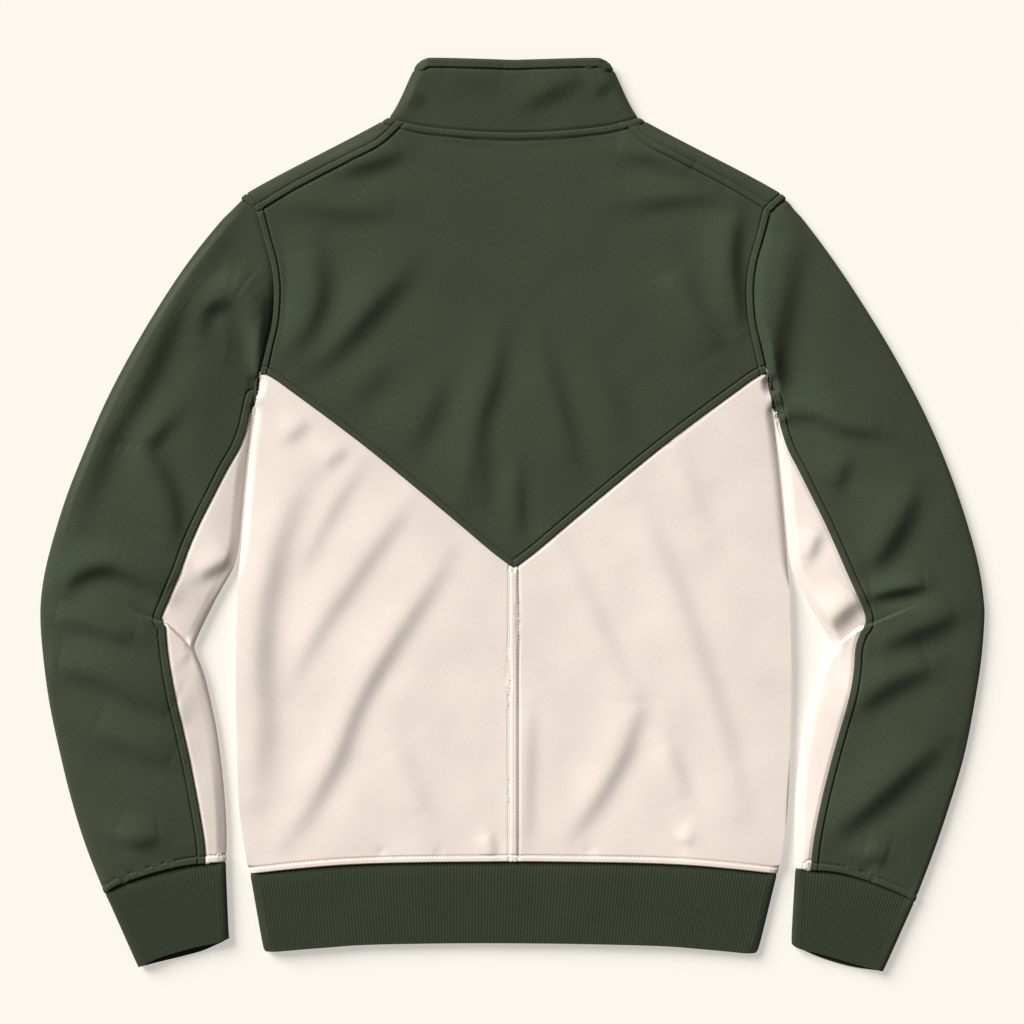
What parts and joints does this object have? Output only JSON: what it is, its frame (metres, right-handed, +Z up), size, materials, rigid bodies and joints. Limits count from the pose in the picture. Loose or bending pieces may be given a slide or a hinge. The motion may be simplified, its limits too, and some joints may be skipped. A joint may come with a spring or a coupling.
{
  "type": "quarter-zip sweatshirt laid flat",
  "caption": "Knit sweatshirt with a stand collar and a closed quarter zip, lying flat and face down, with a V-shaped back yoke, two-panel sleeves and ribbed cuffs and hem.",
  "frame": {"origin": "middle of the bounding box, on the surface the garment lies on", "axes": "+X across the garment to the right as seen from above, +Y up its back towards the collar, +Z up from the surface. It lies face down, so its back is up"},
  "size_m": [0.824, 0.7948, 0.0131],
  "materials": {
    "green_knit": "smooth dark green double knit, matte",
    "green_rib": "dark green 1 x 1 rib, matte",
    "cream_knit": "smooth cream double knit, matte",
    "zip_tape": "woven tape with a closed coil chain",
    "zip_metal": "dark satin metal"
  },
  "bodies": {
    "garment": {"back_yoke": "green_knit", "back_lower_left": "cream_knit", "back_lower_right": "cream_knit", "front_yoke_left": "green_knit", "front_yoke_right": "green_knit", "front_lower": "cream_knit", "sleeve_left_main": "green_knit", "sleeve_right_main": "green_knit", "sleeve_left_under": "cream_knit", "sleeve_right_under": "cream_knit", "cuff_left": "green_rib", "cuff_right": "green_rib", "hem_band": "green_rib", "collar": "green_knit", "zip_tape_left": "zip_tape", "zip_tape_right": "zip_tape", "zip_chain": "zip_tape", "zip_slider": "zip_metal"},
    "pull_tab": {"pull_tab": "zip_metal"}
  },
  "joints": [
    {"name": "pull_tab_hinge", "type": "hinge", "parent": "garment", "child": "pull_tab", "pos_m": [0.001, 0.3577, 0.0006], "axis": [1, 0, 0], "range_deg": [0, 170]}
  ]
}
